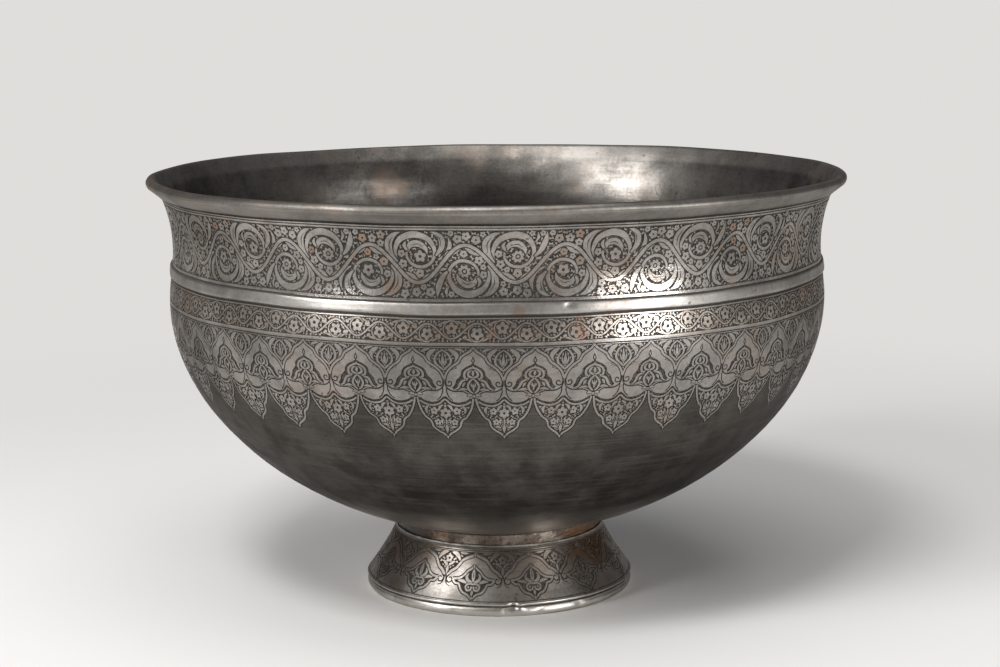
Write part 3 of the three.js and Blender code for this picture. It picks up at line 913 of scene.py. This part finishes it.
def archPattern(width):
    # pointed arches with a palmette inside and a bud between them
    half = width / 2
    top = bands["scrollBottom"]
    seam = seamLine(half)
    outline = np.vstack([seam, [(half, top), (-half, top)]])
    p = Pattern(outline, 6, [146.5, 141, 135.5, 130.5])
    p.darkStrip(150.75, 151.3)
    # right half of the arch between its tip and the curl
    arch = [(0.0, 150.7), (1.5, 149.0), (3.8, 147.6), (5.5, 146.2), (6.5, 144.3), (7.9, 143.2),
            (10.0, 141.7), (12.0, 139.4), (13.1, 136.6), (13.3, 134.9)]
    c = half
    # ground between two arches, with its bud
    ground = np.vstack([curveThrough(arch, 1.0), [(c, 134.9), (c, 150.4), (0.6, 150.4)]])
    p.dark(ground)
    p.dark(ground * (-1, 1))
    heart = [(c, 149.6, 0.5), (c - 2.2, 147.9, 0.85), (c - 3.5, 145.3, 1.0), (c - 2.9, 142.9, 1.0),
             (c - 1.2, 141.5, 1.1), (c, 140.4, 0.6)]
    for side in (1, -1):
        both(p, onSide(heart, side, c))
    both(p, [(c, 148.2, 0.25), (c, 146.2, 0.8), (c, 144.4, 1.5), (c, 141.6, 0.5)])
    for side in (1, -1):
        for points, gap in (
                ([(c - 0.3, 142.4, 0.3), (c - 1.3, 144.2, 0.75), (c - 1.5, 146.3, 0.2)], 0.15),
                ([(c - 2.7, 149.9, 0.5), (c - 4.5, 148.9, 1.9), (c - 6.2, 146.9, 1.9), (c - 5.9, 144.7, 1.2),
                  (c - 4.4, 143.3, 0.2)], 0.2),
                ([(c - 5.2, 150.1, 0.4), (c - 7.9, 149.5, 1.2), (c - 9.9, 148.3, 0.2)], 0.2),
                ([(c - 0.7, 139.6, 0.5), (c - 2.6, 141.0, 1.2), (c - 5.6, 141.7, 0.2)], 0.2)):
            both(p, onSide(points, side, c), gap)
    both(p, [(c, 139.9, 0.4), (c, 138.6, 1.5), (c, 136.8, 0.2)], 0.2)
    chance = random.Random(friezeBand["archSeed"])
    p.keepClear([(x, y, 0.95) for x, y in curveThrough(arch, 0.6)], 0.0)
    p.keepClear([(2 * c - x, y, 0.95) for x, y in curveThrough(arch, 0.6)], 0.0)
    p.keepOffLines([150.5], 0.4, 0.1)
    p.fill(ground, [0.8, 0.6, 0.45], 0.08, chance, groundMotif(chance, 0.0))
    # the arch's double line
    p.line([(x, y, 1.8) for x, y in arch], about=0.0, light=False, step=1.1)
    p.line([(x, y, 0.95) for x, y in arch], about=0.0, step=1.1)
    tip(p, 0, 150.4, 0.75, 1, 0.3)
    # bud under the tip
    p.dark(stroke([(0, 146.9, 0.1), (0, 145.9, 0.9), (0, 144.8, 1.7), (0, 143.9, 0.7), (0, 143.0, 0.5)], 0.7))
    p.light(stroke([(0, 145.8, 0.2), (0, 144.9, 0.75), (0, 144.3, 0.2)], 0.6))
    # inner arch
    inner = [(0.0, 143.0), (1.3, 142.2), (3.3, 141.2), (4.7, 139.9), (5.0, 138.2), (6.0, 136.9), (7.2, 135.7),
             (7.8, 133.8), (9.2, 132.1)]
    inside = np.vstack([curveThrough(inner, 0.9), [(7.4, 131.2), (4.4, 131.6), (2.2, 130.4), (0, 129.4)]])
    p.dark(inside)
    p.dark(inside * (-1, 1))
    p.line([(x, y, 1.35) for x, y in inner], about=0.0, light=False)
    # its ring, with two leaves round a bud inside
    both(p, [(0.0, 141.9, 0.8), (1.9, 141.2, 0.85), (3.6, 139.9, 0.95), (4.0, 138.0, 1.0), (3.0, 136.5, 1.1),
             (2.2, 137.2, 0.5)])
    tip(p, 0, 142.3, 0.6, 1, 0.0)
    both(p, [(0.5, 140.7, 0.2), (1.6, 140.1, 0.8), (2.25, 139.1, 1.0), (1.9, 138.0, 1.0), (0.05, 137.3, 0.6)], 0.15)
    p.line([(0, 140.6, 0.2), (0, 139.6, 1.2), (0, 138.6, 0.9), (0, 138.0, 0.3)], 0.2)
    # bulb below the ring
    both(p, [(0.05, 136.9, 0.5), (1.5, 135.5, 0.85), (2.5, 133.4, 1.0), (1.7, 131.3, 0.9), (0.2, 129.9, 0.6)], 0.2)
    p.line([(0, 131.2, 0.3), (0, 132.6, 0.75), (0, 134.6, 0.3)])
    both(p, [(0.2, 132.8, 0.4), (0.95, 134.0, 0.8), (0.8, 134.9, 0.15)])
    # leaves at its sides
    both(p, [(3.3, 136.3, 0.6), (5.2, 135.6, 1.1), (6.2, 133.9, 1.1), (7.2, 132.3, 0.8), (9.0, 131.6, 0.2)], 0.2)
    both(p, [(3.5, 135.1, 0.2), (4.3, 134.3, 1.2), (4.9, 132.9, 0.3)], 0.15)
    both(p, [(2.7, 131.6, 0.3), (4.1, 132.1, 0.9), (5.8, 131.8, 0.8), (7.0, 131.3, 0.2)], 0.15)
    # curls where two arches meet
    p.line(spiralLine(half - 2.3, 134.6, 1.75, 0.45, 20, -1.1, [0.6, 0.6, 0.5]), about=0.0, light=False)
    p.line([(half - 0.35, 136.2, 0.5), (half - 0.45, 133.7, 0.55), (half - 1.7, 131.9, 0.6), (half - 4.0, 130.9, 0.6),
            (half - 6.6, 130.9, 0.6), (4.6, 130.8, 0.55), (2.4, 129.7, 0.5)], about=0.0, light=False)
    # stem between the wings, and the wings' lower line
    p.line([(half - 0.9, 132.4, 0.5), (half - 1.0, 130.4, 0.5), (half - 2.0, 128.0, 0.5), (half - 3.6, 126.5, 0.5)],
           about=0.0, light=False)
    p.line([(x, y, 0.62) for x, y in wingsUnder(half)], about=0.0, light=False)
    # clasp
    p.dark(disc(0, 128.7, 1.5, steps=12))
    both(p, [(0.5, 128.8, 0.7), (1.9, 129.4, 1.1), (3.0, 128.9, 0.2)], 0.25)
    both(p, [(0.5, 128.3, 0.5), (1.6, 127.9, 0.6), (2.3, 127.6, 0.2)], 0.15)
    p.light(disc(0, 128.7, 0.62, steps=8), 0.25)
    return p


def pendantPattern(width):
    # centred on a pendant, with the plain body below it
    half = width / 2
    seam = seamLine(half)
    shifted = np.vstack([seam[seam[:, 0] >= -1e-6] - (half, 0), seam[seam[:, 0] <= 1e-6] + (half, 0)])
    upper = shifted[np.argsort(shifted[:, 0])]
    upper = upper[np.concatenate([[True], np.diff(upper[:, 0]) > 1e-4])]
    heights = [123, 118, 113, 108.5, 104, 99, 94, 89, 84, 79, 74, 69, 64.5, 60, 56, 52.4, 49.2, 46.4, 44, 41.8, 40.0]
    outline = np.vstack([upper[::-1], [(-half, bands["skinEdge"]), (half, bands["skinEdge"])]])
    p = Pattern(outline, 6, heights)
    p.plainBelow = 131.0
    side = [(0.0, 108.2), (1.6, 110.2), (3.8, 111.6), (6.0, 113.6), (6.7, 115.9), (7.5, 117.2), (9.2, 118.4),
            (11.0, 121.2), (12.2, 124.3), (12.9, 128.0)]
    drawnHalf = 13.4  # half a repeat when the pendant was measured
    scale = half / drawnHalf
    side = [(x * scale, y) for x, y in side]
    pendant = np.vstack([curveThrough(side, 0.9), [(half, 130), (0, 130)]])
    p.dark(pendant)
    p.dark(pendant * (-1, 1))
    p.line([(x, y, 1.7) for x, y in side], about=0.0, light=False)
    p.line([(x, y, 0.85) for x, y in side], about=0.0)
    tip(p, 0, 108.4, 0.9, -1, 0.45)
    # light line along the top
    under = [(half - x, y - 1.25) for x, y in wingsUnder(half)][::-1]
    p.line([(x, y, 0.75) for x, y in under[:-1]], about=0.0)
    p.keepClear([(half - x, y, 1.9) for x, y in curveThrough(wingsUnder(half), 0.6)], 0.0)
    # flowers and leaves
    p.light(disc(0, 120.4, 2.6, 6, 0.32, math.radians(90), 30), 0.25)
    p.dark(disc(0, 120.4, 0.65, steps=8))
    p.keepClear([(0, 120.4, 2.6)])
    p.line([(0, 117.8, 0.5), (0.1, 116.2, 0.6), (0, 113.6, 0.5)], 0.15)
    p.line([(0, 115.0, 0.2), (0, 113.0, 1.6), (0, 110.6, 0.2)], 0.15)
    for x, y, r in ((5.1, 121.4, 1.9), (3.7, 116.0, 1.7)):
        p.light(disc(x, y, r, 5, 0.34, 0.4, 25), 0.2, 0.0)
        p.dark(disc(x, y, 0.42, steps=6), 0.0)
        p.keepClear([(x, y, r)], 0.0)
    both(p, [(1.0, 124.3, 0.4), (2.5, 123.3, 1.3), (3.1, 121.3, 0.4)], 0.15)
    both(p, [(7.6, 123.9, 0.4), (8.9, 122.4, 1.4), (8.4, 120.2, 0.4)], 0.15)
    both(p, [(1.2, 117.6, 0.4), (1.9, 116.5, 1.1), (1.6, 114.9, 0.3)], 0.15)
    both(p, [(1.4, 112.9, 0.3), (2.8, 113.6, 1.2), (4.3, 113.6, 0.3)], 0.15)
    chance = random.Random(friezeBand["pendantSeed"])
    p.keepClear([(x, y, 0.85) for x, y in curveThrough(side, 0.6)], 0.0)
    p.fill(pendant, [0.85, 0.62, 0.45, 0.33], 0.08, chance, groundMotif(chance, 0.0))
    return p


neckBand = {"repeats": 12, "phase": 0.1, "radius": 163.0, "groundLow": 171.5, "groundHigh": 201.95,
            "waves": 4, "swing": 8.4, "seed": 14}


def neckPattern(width):
    # coiled stems with split leaves over a ground packed with blossoms
    top, bottom = bands["neckTop"], bands["neckBottom"]
    half = width / 2
    low, high, waves = neckBand["groundLow"], neckBand["groundHigh"], neckBand["waves"]
    middle = (low + high) / 2
    p = Pattern(box(half, bottom, top), 12, [174.5, 179, 183.5, 188, 192.5, 197, 200.5])
    p.darkStrip(202.75, 203.25)
    p.darkStrip(203.8, top)
    p.darkStrip(low, high)
    p.keepOffLines((low, high), 0.5)
    pitch = width / waves * 2  # one full swing of the stem

    def stem(x):
        return middle - neckBand["swing"] * np.cos(2 * math.pi * x / pitch)

    for number in range(waves):
        up = 1 if number % 2 == 0 else -1
        cx = -half + (number + 0.5) * pitch / 2 - pitch / 4
        odd = number in (1, 2)

        def put(points, gap=0.45):
            p.line([(cx + up * x, middle + up * y, w) for x, y, w in points], gap, step=1.3)

        def vein(points):
            p.dark(stroke([(cx + up * x, middle + up * y, w) for x, y, w in points], 1.2))

        # coil that fills the hollow of the stem
        put([(-9.4, 1.4, 0.7), (-9.7, 6.2, 1.5), (-7.0, 11.0, 2.4), (-1.2, 13.2, 3.0), (4.4, 11.6, 2.6),
             (7.6, 6.8, 1.7), (6.8, 1.6, 1.3), (2.6, -1.4, 1.4), (-2.2, -0.6, 1.3), (-4.9, 2.8, 1.1),
             (-4.6, 6.4, 0.9)])
        # split leaf at its inner end
        put([(-4.5, 5.4, 0.8), (-2.9, 8.4, 2.4), (0.6, 9.0, 2.9), (3.6, 6.8, 1.9), (4.3, 4.2, 0.2)])
        vein([(-2.6, 8.2, 0.1), (0.6, 8.8, 0.4), (2.8, 7.0, 0.1)])
        put([(-4.6, 6.0, 0.9), (-5.6, 8.2, 1.5), (-4.6, 10.0, 0.15)], 0.4)
        x, y = cx + up * 1.0, middle + up * 3.2
        if odd:
            p.light(disc(x, y, 2.9, 8, 0.3, math.radians(22), 32), 0.4)
            p.dark(disc(x, y, 1.2, steps=10))
            p.light(disc(x, y, 0.7, steps=8))
        else:
            p.light(disc(x, y, 2.8, 5, 0.4, math.radians(90 * up), 30), 0.4)
            p.dark(disc(x, y, 0.75, steps=8))
        p.keepClear([(x, y, 3.0)])
        # long leaves towards the borders
        put([(-9.3, 0.6, 1.0), (-12.0, 4.4, 2.6), (-12.4, 9.4, 3.3), (-9.6, 13.0, 2.0), (-6.6, 14.2, 0.15)])
        vein([(-12.0, 5.2, 0.1), (-12.1, 9.0, 0.4), (-10.0, 12.2, 0.1)])
        if odd:
            put([(8.2, 3.2, 0.8), (10.6, 5.8, 2.0), (12.4, 10.0, 2.4), (13.0, 14.3, 0.2)])
            put([(8.6, 2.2, 0.6), (12.2, 2.6, 1.7), (15.2, 5.2, 1.5), (16.2, 8.4, 0.15)], 0.4)
            put([(8.0, 9.6, 0.3), (9.3, 11.8, 1.3), (8.8, 14.3, 0.15)], 0.35)
        else:
            put([(8.2, 3.6, 0.8), (11.0, 7.4, 2.4), (10.9, 11.6, 2.6), (8.4, 13.9, 1.3), (6.4, 14.3, 0.15)])
            vein([(10.6, 7.6, 0.1), (10.4, 11.0, 0.4), (8.8, 13.0, 0.1)])
            put([(9.2, 1.8, 0.6), (12.9, 4.0, 1.8), (14.7, 8.4, 1.7), (13.9, 12.6, 0.15)], 0.4)
        # leaves along the stem
        put([(0.6, -8.6, 1.0), (-2.6, -5.9, 2.6), (-6.6, -4.6, 2.2), (-9.4, -2.2, 0.2)])
        vein([(-2.8, -5.9, 0.1), (-5.0, -5.1, 0.4), (-7.6, -3.8, 0.1)])
        put([(1.4, -8.4, 0.9), (4.2, -5.7, 2.2), (7.6, -4.7, 1.8), (9.8, -2.4, 0.2)])
    run = np.linspace(-half, half, waves * 9 + 1)
    p.line([(x, stem(x), 1.5) for x in run], 0.45, step=1.2)
    chance = random.Random(neckBand["seed"])
    p.fill(box(half, low, high), [1.9, 1.6, 1.3, 1.0, 0.78, 0.58], 0.14, chance, groundMotif(chance))
    return p


footBand = {"repeats": 13, "phase": -0.44, "radius": 60.7, "seed": 6}


def footPattern(width):
    # arches over hanging palmettes, with flowers between them
    half = width / 2
    low, high = bands["footBottom"], bands["footTop"]
    p = Pattern(box(half, low, high), 8, [12, 17, 22, 26])
    p.darkStrip(29.0, 29.45)
    p.darkStrip(7.25, 7.6)
    arch = [(0.0, 27.9), (1.5, 26.9), (4.3, 26.0), (6.6, 24.8), (8.3, 22.8), (9.9, 21.0), (12.2, 19.6),
            (half - 0.7, 17.6)]
    ground = np.vstack([curveThrough(arch, 0.9), [(half, 17.0), (half, 28.6), (0.5, 28.6)]])
    p.dark(ground)
    p.dark(ground * (-1, 1))
    for side in (1, -1):
        for points, gap in (
                ([(half - 0.2, 21.4, 0.4), (half - 1.5, 23.0, 1.6), (half - 3.6, 23.8, 0.3)], 0.25),
                ([(half - 1.2, 27.9, 0.4), (half - 3.4, 27.6, 1.8), (half - 5.6, 26.0, 1.7),
                  (half - 6.6, 24.0, 0.2)], 0.25),
                ([(half - 5.8, 28.2, 0.4), (half - 8.4, 27.9, 1.1), (half - 10.6, 28.0, 0.2)], 0.2)):
            both(p, onSide(points, side, half), gap)
    both(p, [(half, 21.9, 0.5), (half, 20.4, 1.7), (half, 18.2, 0.2)], 0.2)
    p.light(disc(half, 25.2, 2.2, 5, 0.4, math.radians(90), 25), 0.3)
    p.dark(disc(half, 25.2, 0.6, steps=8))
    p.keepClear([(half, 25.2, 2.2)])
    p.keepClear([(x, y, 1.1) for x, y in curveThrough(arch, 0.7)], 0.0)
    p.keepOffLines([28.6], 0.5, 0.1)
    chance = random.Random(footBand["seed"])
    p.fill(ground, [0.9, 0.65, 0.45], 0.14, chance, groundMotif(chance, 0.0))
    # the arch's double line, ending in a curl
    p.line([(x, y, 2.1) for x, y in arch], about=0.0, light=False)
    p.line([(x, y, 1.15) for x, y in arch], about=0.0)
    tip(p, 0, 27.5, 1.0, 1, 0.45)
    p.line(spiralLine(half - 2.6, 16.2, 2.0, 0.6, 60, -1.1, [0.6, 0.6, 0.45]), about=0.0, light=False)
    p.line([(half - 0.5, 17.6, 0.5), (half - 0.6, 15.6, 0.55), (half - 1.6, 13.8, 0.5), (half - 3.2, 13.3, 0.3)],
           about=0.0, light=False)
    # hanging palmette
    side = [(0.0, 22.8), (1.3, 21.4), (3.4, 20.0), (5.0, 18.2), (7.4, 16.9), (10.6, 16.4), (9.0, 14.8),
            (7.0, 14.5), (6.0, 12.7), (4.4, 11.0), (2.2, 10.2), (0.0, 8.2)]
    leaf = curveThrough(side, 0.9)
    p.dark(np.vstack([leaf, (leaf * (-1, 1))[::-1][1:-1]]))
    for thick, light in ((1.9, False), (0.85, True)):
        for part in (side[:6], side[5:]):
            p.line([(x, y, thick) for x, y in part], about=0.0, light=light)
    tip(p, 0, 22.5, 0.8, 1, 0.45)
    tip(p, 0, 8.6, 0.8, -1, 0.45)
    p.line([(0, 21.6, 0.2), (0, 19.6, 1.5), (0, 17.6, 1.7), (0, 15.6, 0.6)], 0.2)
    p.dark(stroke([(0, 20.2, 0.08), (0, 18.4, 0.5), (0, 16.8, 0.08)], 0.8))
    both(p, [(0.4, 15.4, 0.6), (2.6, 16.2, 1.4), (3.4, 17.8, 1.2), (2.4, 19.3, 0.2)], 0.2)
    both(p, [(3.2, 15.0, 0.5), (5.0, 15.8, 1.4), (7.6, 15.9, 0.3)], 0.2)
    both(p, [(0.0, 14.6, 0.8), (2.0, 14.8, 0.8), (3.4, 13.6, 0.9), (2.6, 12.0, 0.9), (0.9, 12.2, 0.8),
             (0.5, 13.6, 0.7)], 0.15)
    p.light(disc(1.95, 13.3, 0.5, steps=8), about=0.0)
    p.line([(0, 12.0, 0.4), (0, 10.9, 1.3), (0, 9.6, 0.2)], 0.2)
    return p


def addRing(name, draw, band, radiusAt, finish, backRows, ahead=0.0):
    # copies start half a turn back, so the join lies behind
    width = 2 * math.pi * band["radius"] / band["repeats"]
    start = (band["phase"] + ahead - band["repeats"] // 2) * 2 * math.pi / band["repeats"]
    mesh = ringOf(name, draw(width), band["repeats"], width, radiusAt, start, backRows)
    return linked(name, mesh, finish)


addRing("neckOrnament", neckPattern, neckBand, bowlRadius, tinNeck, backRows=8)
addRing("scrollOrnament", scrollPattern, scrollBand, bowlRadius, tinScroll, backRows=2)
addRing("archOrnament", archPattern, friezeBand, bowlRadius, tinFrieze, backRows=4)
addRing("pendantOrnament", pendantPattern, friezeBand, bowlRadius, tinFrieze, backRows=18, ahead=0.5)
print("bands bent round the bowl")


def arcPoints(centre, radius, start, end, steps):
    angles = np.linspace(math.radians(start), math.radians(end), steps + 1)
    return [(centre[0] + radius * math.cos(a), centre[1] + radius * math.sin(a)) for a in angles]


def outsidePoint(z, inwards=0.0):
    slope = float(slopeOf(bowlRadius, z))
    n = 1 / math.sqrt(1 + slope * slope)
    return (float(bowlRadius(z)) - inwards * n, z + inwards * slope * n)


def seatPoint(z, radiusAt=bowlRadius):
    return (float(under(radiusAt, z, bands["backing"] + 0.02)), z)


def bowlOutline():
    # underside, outside with its seats for the ornament, lip, then the inside back to the axis
    edge, top = bands["skinEdge"], bands["scrollTop"]
    points = [(r, baseHeight + drop(r)) for r in np.linspace(0, 51.4, 22)]
    # where the shell meets the ornament and the moulding it is darkened: dirt and painted shade
    points += [markedPoint(outsidePoint(edge - 0.02), 1.0)]
    points += [seatPoint(z) for z in np.concatenate([np.linspace(edge, 60, 12), np.linspace(64, top, 22)])]
    points += [markedPoint(outsidePoint(z), 1.0) for z in np.linspace(top + 0.02, bands["neckBottom"] - 0.02, 5)]
    points += [seatPoint(z) for z in np.linspace(bands["neckBottom"], bands["neckTop"], 10)]
    points += [markedPoint(outsidePoint(bands["neckTop"] + 0.02), 1.0)]
    return points


def lipAndInside():
    b = bowlShape
    sheet = b["sheet"]
    outer = rollRadius + sheet / 2
    points = []
    # folded edge of the lip, up its bevel, round the roll, and down the inside
    foldZ = lipHeight - b["lipFold"]
    foldR = float(bowlRadius(foldZ)) + 0.1
    # the fold's root is darkened with dirt and painted shadow under the lip; the bevel and the roll's lower half get
    # a painted highlight
    points += [(foldR - 0.1, foldZ - 0.2, 1.0), (foldR + 0.75, foldZ - 0.05, 1.0)]
    points += [(foldR + 1.2, foldZ + 0.45, -0.2)]
    for point in arcPoints(rollCentre, outer, -38, 68, 12):
        points.append(markedPoint(point, 0.0 if point[1] > rollCentre[1] else -0.15))
    rollEnd = 155  # degrees round the roll, where it meets the inside
    points += arcPoints(rollCentre, outer, 98, rollEnd, 8)
    reach = flare + sheet / 2
    centre = (waistRadius - sheet / 2 + flare, waistHeight)
    topZ = rollCentre[1] + outer * math.sin(math.radians(rollEnd))
    for z in np.linspace(topZ - 1.0, waistHeight, 22):
        points.append((centre[0] - math.sqrt(reach**2 - (z - centre[1]) ** 2), z))
    for z in np.linspace(waistHeight - 1.5, bellyHeight, 16):
        points.append(outsidePoint(z, sheet))
    for z in np.linspace(bellyHeight - 2, 44, 52):
        points.append(outsidePoint(z, sheet))
    last = points[-1]
    for r in np.linspace(last[0] * 0.94, 0, 22):
        slope = b["roundness"] * drop(r) / r if r > 1 else 0
        points.append((r, baseHeight + drop(r) + sheet * math.sqrt(1 + slope * slope)))
    return points


shell = turnedMesh("bowlShell", bowlOutline() + lipAndInside(), bowlShape["steps"])
linked("bowlShell", shell, tinInside, ["bowl_body"])

mouldingShape = {"proud": 1.0, "steps": 576}


def mouldingOutline():
    low, high = bands["mouldingBottom"], bands["mouldingTop"]
    # its edges against the bowl are darkened: dirt and painted shade
    points = [markedPoint(outsidePoint(low + 0.1, -0.02), 1.0)]
    for share in np.linspace(0, 1, 12):
        z = low + (high - low) * share
        lift = mouldingShape["proud"] * (1 - abs(2 * share - 1) ** 6) ** 0.5
        points.append(markedPoint(outsidePoint(z, -lift - 0.04), 0.8 if share in (0, 1) else 0.0))
    points.append(markedPoint(outsidePoint(high - 0.1, -0.02), 1.0))
    return points


moulding = turnedMesh("waistMoulding", mouldingOutline(), mouldingShape["steps"])
linked("waistMoulding", moulding, tinMoulding, ["waist_band"])


def footOutline():
    f = footShape
    sheet, spigot, shoulder, hem = f["sheet"], f["spigotRadius"], f["shoulderRadius"], f["hemRadius"]
    roll = f["wire"] + sheet
    centre = (hem - roll, roll - 0.4)
    low, high = bands["footBottom"], bands["footTop"]
    points = [(spigot - sheet, 35.4), (spigot - sheet, 30.0), (spigot - sheet + 0.8, 29.3), (shoulder - 1.2, 29.0)]
    points += [(float(under(skirtRadius, z, sheet)), z) for z in np.linspace(28.4, 6.8, 22)]
    points += [(hem - 2 * roll + 0.2, 5.2)]
    for r, z in arcPoints(centre, roll, 190, 350, 14):  # flat where it stands, with a painted highlight at its outside
        points.append((r, max(z, 0.0), -0.9 if r > centre[0] + roll * 0.7 else 0.0))
    ridge = f["ridgeHeight"]  # a groove runs between the roll and the ridge, darkened with dirt and painted shade
    points += [(hem - 0.02, centre[1] + 0.45, -0.9), (hem - 0.2, centre[1] + 1.3, -0.9),
               (hem - 0.5, centre[1] + 2.1, -0.7), (hem - 0.75, centre[1] + 2.5, 0.2),
               (hem - 1.15, centre[1] + 2.75, 1.0), (hem - 1.15, ridge - 1.25, 1.0),
               (hem - 0.6, ridge - 1.05, 0.4), (hem - 0.1, ridge - 0.85, -0.6),
               (hem + 0.12, ridge - 0.4, -1.0), (hem + 0.05, ridge + 0.1, -0.8)]
    points += [(float(skirtRadius(low - 0.02)), low - 0.02)]
    points += [seatPoint(z, skirtRadius) for z in np.linspace(low, high, 20)]
    # the shoulder's outer edge gets a painted highlight, its corner by the spigot dirt and painted shade
    points += [(float(skirtRadius(high + 0.02)), high + 0.02), (shoulder - 0.1, 30.2, -0.7),
               (shoulder - 0.5, 30.6, -0.7), (shoulder - 1.1, 30.6, 1.0), (spigot + 0.1, 30.6, 1.0),
               (spigot, 31.0), (spigot, 35.6)]
    return points


skirt = turnedMesh("footSkirt", footOutline(), footShape["steps"])
linked("footSkirt", skirt, tinFoot, ["foot_skirt"])
addRing("footOrnament", footPattern, footBand, skirtRadius, tinFoot, backRows=6)


collarShape = {"inner": 50.4, "bottom": 30.85, "steps": 480}


def collarOutline():
    inner, outer, bottom = collarShape["inner"], bowlShape["collarRadius"], collarShape["bottom"]
    top = baseHeight + drop(outer) - 0.1
    # the collar's corners are darkened: dirt and painted shade
    points = [(inner, bottom), (outer - 0.3, bottom, 1.0), (outer, 31.1, 0.9)]
    points += [(outer, z) for z in np.linspace(31.5, top - 0.7, 12)]
    points += [(outer, top - 0.3, 0.8), (outer - 0.15, top, 1.0), (inner, baseHeight + drop(inner) - 0.1)]
    return points


collar = turnedMesh("footCollar", collarOutline(), collarShape["steps"])
linked("footCollar", collar, copperBare, ["foot_collar"])

for name, finish in (("rim_wire", copperBare), ("foot_wire", copperBare),
                     ("bowl_solder", solderGrey), ("foot_solder", solderGrey)):
    nodes[name].data.materials.clear()
    nodes[name].data.materials.append(finish)
print("carried-over pieces finished")


studio = {
    "floor": (0.77, 0.76, 0.74, 1),
    "floorDuller": (0.73, 0.72, 0.70, 1),
    "even": 0.73,  # the one tone that the floor is shown in away from the basin
    "evenFrom": 0.3, "evenTo": 0.85,  # metres from the basin's axis
    "world": (0.17, 0.17, 0.178, 1),
    "lamps": [  # name, azimuth from the camera's side, elevation, distance, width, height, watts
        ("left", -52, 24, 2.4, 0.6, 1.2, 41),
        ("right", 48, 3, 2.4, 0.9, 0.8, 34),
        ("front", -22, 54, 2.4, 0.6, 0.5, 25),
        ("above", 10, 80, 3.0, 2.6, 2.6, 39),
    ],
}


def addStudio(values):
    bm = bmesh.new()
    bmesh.ops.create_circle(bm, cap_ends=True, radius=300, segments=64)
    mesh = bpy.data.meshes.new("floor")
    bm.to_mesh(mesh)
    bm.free()
    floor = bpy.data.objects.new("floor", mesh)
    bpy.context.scene.collection.objects.link(floor)
    f = Finish("paleFloor")
    here = f.here()
    colour = f.mixed(f.noise(here, 3, 2) * 0.1, values["floor"], values["floorDuller"])
    paper = f.node("ShaderNodeBsdfPrincipled", None, {"Base Color": colour, "Roughness": 0.75})
    # away from the basin, camera, glossy and transmitted rays see the floor in one even tone
    distance = f.node("ShaderNodeVectorMath", {"operation": "LENGTH"}, {0: here}, 1)
    away = distance.between(values["evenFrom"], values["evenTo"])
    rays = [f.node("ShaderNodeLightPath", None, None, number) for number in (0, 3, 6)]
    seen = (rays[0] + rays[1] + rays[2]).clamped() * away
    strength = values["even"] / values["floor"][1]
    glow = f.node("ShaderNodeEmission", None, {"Color": values["floor"], "Strength": strength})
    mesh.materials.append(f.shown(f.node("ShaderNodeMixShader", None, {0: seen, 1: paper, 2: glow})))
    world = bpy.data.worlds.new("studio")
    world.use_nodes = True
    world.node_tree.nodes["Background"].inputs["Color"].default_value = values["world"]
    bpy.context.scene.world = world
    target = Vector((0, 0, 0.12))
    for name, azimuth, elevation, distance, width, height, watts in values["lamps"]:
        data = bpy.data.lights.new(name, "AREA")
        data.shape, data.size, data.size_y, data.energy = "RECTANGLE", width, height, watts
        lamp = bpy.data.objects.new(name, data)
        bpy.context.scene.collection.objects.link(lamp)
        a, e = math.radians(azimuth), math.radians(elevation)
        outwards = Vector((math.sin(a) * math.cos(e), -math.cos(a) * math.cos(e), math.sin(e)))
        lamp.location = target + outwards * distance
        lamp.rotation_euler = outwards.to_track_quat("Z", "Y").to_euler()


addStudio(studio)
bpy.context.scene.view_settings.view_transform = "Standard"
